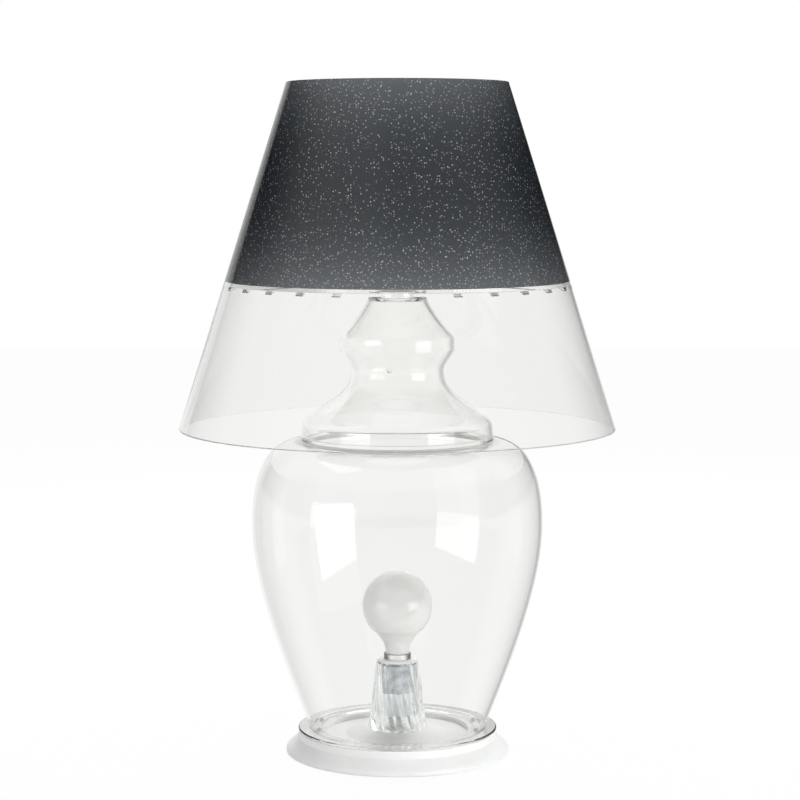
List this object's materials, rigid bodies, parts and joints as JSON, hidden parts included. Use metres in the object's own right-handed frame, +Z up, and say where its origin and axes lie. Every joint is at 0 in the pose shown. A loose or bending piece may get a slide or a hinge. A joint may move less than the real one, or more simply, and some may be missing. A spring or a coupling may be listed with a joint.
{
  "type": "table lamp",
  "caption": "Table lamp with a clear lidded jar body, a bulb inside it, and a clear conical shade with a dark inner liner.",
  "frame": {"origin": "centre of the resting face under the rubber feet", "axes": "+Z up along the lamp's axis, -Y towards the viewer in front, +X to the viewer's right, cord inlet at the back on +Y"},
  "size_m": [0.502, 0.502, 0.7745],
  "materials": {
    "white_casing": "satin white",
    "cover_plastic": "matte",
    "rubber_feet": "matte",
    "screw_steel": "plain steel",
    "ballast_iron": "painted",
    "terminal_plastic": "matte",
    "terminal_brass": "plain brass",
    "lead_brown": "matte",
    "lead_blue": "matte",
    "dish_white": "satin white",
    "clear_jar": "polished clear acrylic",
    "holder_chrome": "polished",
    "cut_glass": "cut and polished",
    "bulb_metal": "plain",
    "bulb_black": "gloss",
    "bulb_white": "matte",
    "board_aluminium": "matte",
    "chip_yellow": "matte",
    "board_green": "matte",
    "opal_globe": "opal, satin",
    "liner_slate": "dark slate with fine light speckles"
  },
  "bodies": {
    "base": {"base_casing": "white_casing", "base_cover": "cover_plastic", "foot_pads": "rubber_feet", "cover_screws": "screw_steel", "ballast_ring": "ballast_iron", "ballast_screws": "screw_steel", "cord_gland": "white_casing", "gland_nut": "screw_steel", "terminal_block": "terminal_plastic", "terminal_screws": "terminal_brass", "live_lead": "lead_brown", "neutral_lead": "lead_blue", "dish_plate": "dish_white", "dish_screws": "screw_steel", "jar": "clear_jar", "jar_screws": "screw_steel", "threaded_tube": "screw_steel", "tube_washer": "screw_steel", "tube_nut": "screw_steel", "spacer_tube": "screw_steel", "holder_cup": "holder_chrome", "holder_nut": "screw_steel", "holder_core": "terminal_plastic", "core_screws": "terminal_brass", "screw_sleeve": "holder_chrome", "centre_contact": "terminal_brass", "holder_shell": "holder_chrome", "holder_ring": "holder_chrome", "glass_cover": "cut_glass"},
    "bulb_tip": {"bulb_tip": "bulb_metal"},
    "bulb": {"bulb_insulator": "bulb_black", "bulb_cap": "bulb_metal", "bulb_collar": "bulb_white", "led_board": "board_aluminium", "led_chips": "chip_yellow", "led_driver": "board_green", "bulb_globe": "opal_globe"},
    "lid": {"lid": "clear_jar"},
    "shade_unit": {"carrier_disc": "clear_jar", "liner": "liner_slate", "shade": "clear_jar"}
  },
  "joints": [
    {"name": "bulb_rise", "type": "slide", "parent": "base", "child": "bulb_tip", "axis": [0, 0, 1], "range_m": [0, 0.01633]},
    {"name": "bulb_turn", "type": "hinge", "parent": "bulb_tip", "child": "bulb", "pos_m": [0, 0, 0.105], "axis": [0, 0, 1], "range_deg": [0, 1620]},
    {"name": "lid_lift", "type": "slide", "parent": "base", "child": "lid", "axis": [0, 0, 1], "range_m": [0, 0.2]},
    {"name": "shade_lift", "type": "slide", "parent": "lid", "child": "shade_unit", "axis": [0, 0, 1], "range_m": [0, 0.2]}
  ],
  "couplings": [
    {"joint": "bulb_turn", "follows": "bulb_rise", "rad_per_m": 1731.4}
  ]
}
